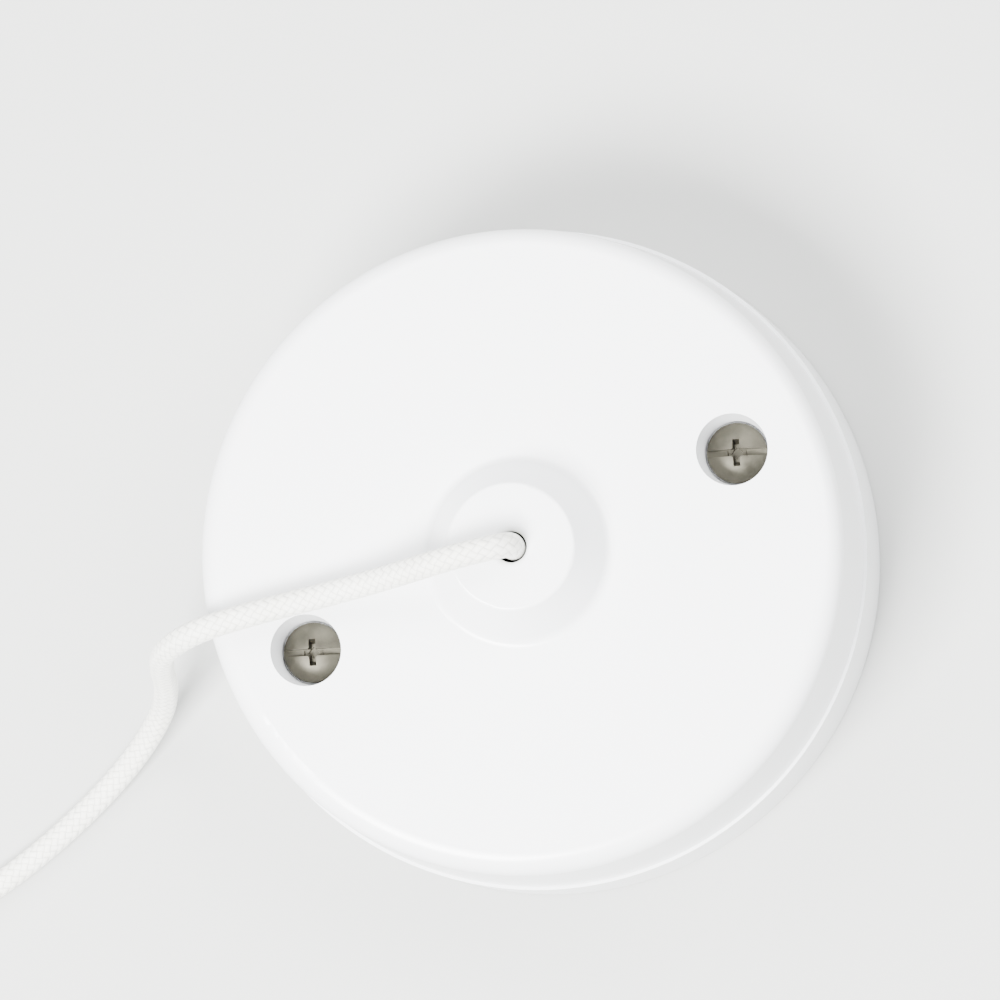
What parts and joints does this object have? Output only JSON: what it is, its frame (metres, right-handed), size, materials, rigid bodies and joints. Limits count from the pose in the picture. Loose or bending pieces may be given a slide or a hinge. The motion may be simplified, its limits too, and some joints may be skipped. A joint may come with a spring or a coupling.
{
  "type": "ceiling pull cord switch",
  "caption": "Round white ceiling pull cord switch: drafted cover with a conical boss, two deep screw recesses and a braided pull cord with a knob.",
  "frame": {"origin": "centre of the base plate's ceiling face", "axes": "+Z out of the boss, the way the cord is pulled; +X through the two cover screws"},
  "size_m": [0.1789, 0.0999, 0.0465],
  "materials": {
    "white_plastic": "satin white moulding, slightly cool",
    "inner_plastic": "matt off-white moulding",
    "slider_plastic": "natural nylon",
    "screw_metal": "zinc and yellow passivated steel",
    "brass": "plain brass",
    "spring_steel": "bright spring steel",
    "contact_metal": "silver alloy",
    "cord_braid": "braided polyester, warm cream",
    "tie_plastic": "white plastic tie"
  },
  "bodies": {
    "housing": {"base_plate": "white_plastic", "cover": "white_plastic", "cover_screws": "screw_metal", "screw_inserts": "brass", "switch_body": "inner_plastic", "switch_body_lid": "inner_plastic", "body_screws": "screw_metal", "wheel_axle": "spring_steel", "contact_pivot_pin": "brass", "backstop_spring": "spring_steel", "terminal_load": "brass", "terminal_earth": "brass", "terminal_line": "brass", "terminal_screws": "screw_metal", "fixed_contact_strip": "brass", "fixed_contact_tip": "contact_metal", "line_strip": "brass", "return_spring": "spring_steel", "contact_spring": "spring_steel"},
    "pull": {"pull_slider": "slider_plastic", "drive_pawl": "spring_steel", "pawl_rivet": "spring_steel", "cord_inner": "cord_braid", "cord_knot_inner": "cord_braid", "pull_cord": "cord_braid", "cord_tail": "cord_braid", "cord_coil": "cord_braid", "coil_tie": "tie_plastic", "pull_knob": "white_plastic", "cord_end": "cord_braid", "cord_knot_outer": "cord_braid"},
    "ratchet": {"ratchet_cam": "slider_plastic"},
    "contact": {"contact_arm": "brass", "moving_contact_tip": "contact_metal"}
  },
  "joints": [
    {"name": "cord_pull", "type": "slide", "parent": "housing", "child": "pull", "axis": [0, 0, 1], "range_m": [0, 0.0055], "stiffness_N_per_m": 1200, "deforming": ["return_spring"]},
    {"name": "ratchet_turn", "type": "hinge", "parent": "housing", "child": "ratchet", "pos_m": [0.01219, 0, 0.01629], "axis": [0, 1, 0], "range_deg": [0, 45.2]},
    {"name": "contact_swing", "type": "hinge", "parent": "housing", "child": "contact", "pos_m": [0.01839, 0.0088, 0.02234], "axis": [0, 1, 0], "range_deg": [0, 8.4], "deforming": ["contact_spring"]}
  ],
  "couplings": [
    {"joint": "ratchet_turn", "follows": "cord_pull", "rad_per_m": 142.8},
    {"joint": "contact_swing", "follows": "cord_pull", "rad_per_m": 26.393}
  ]
}
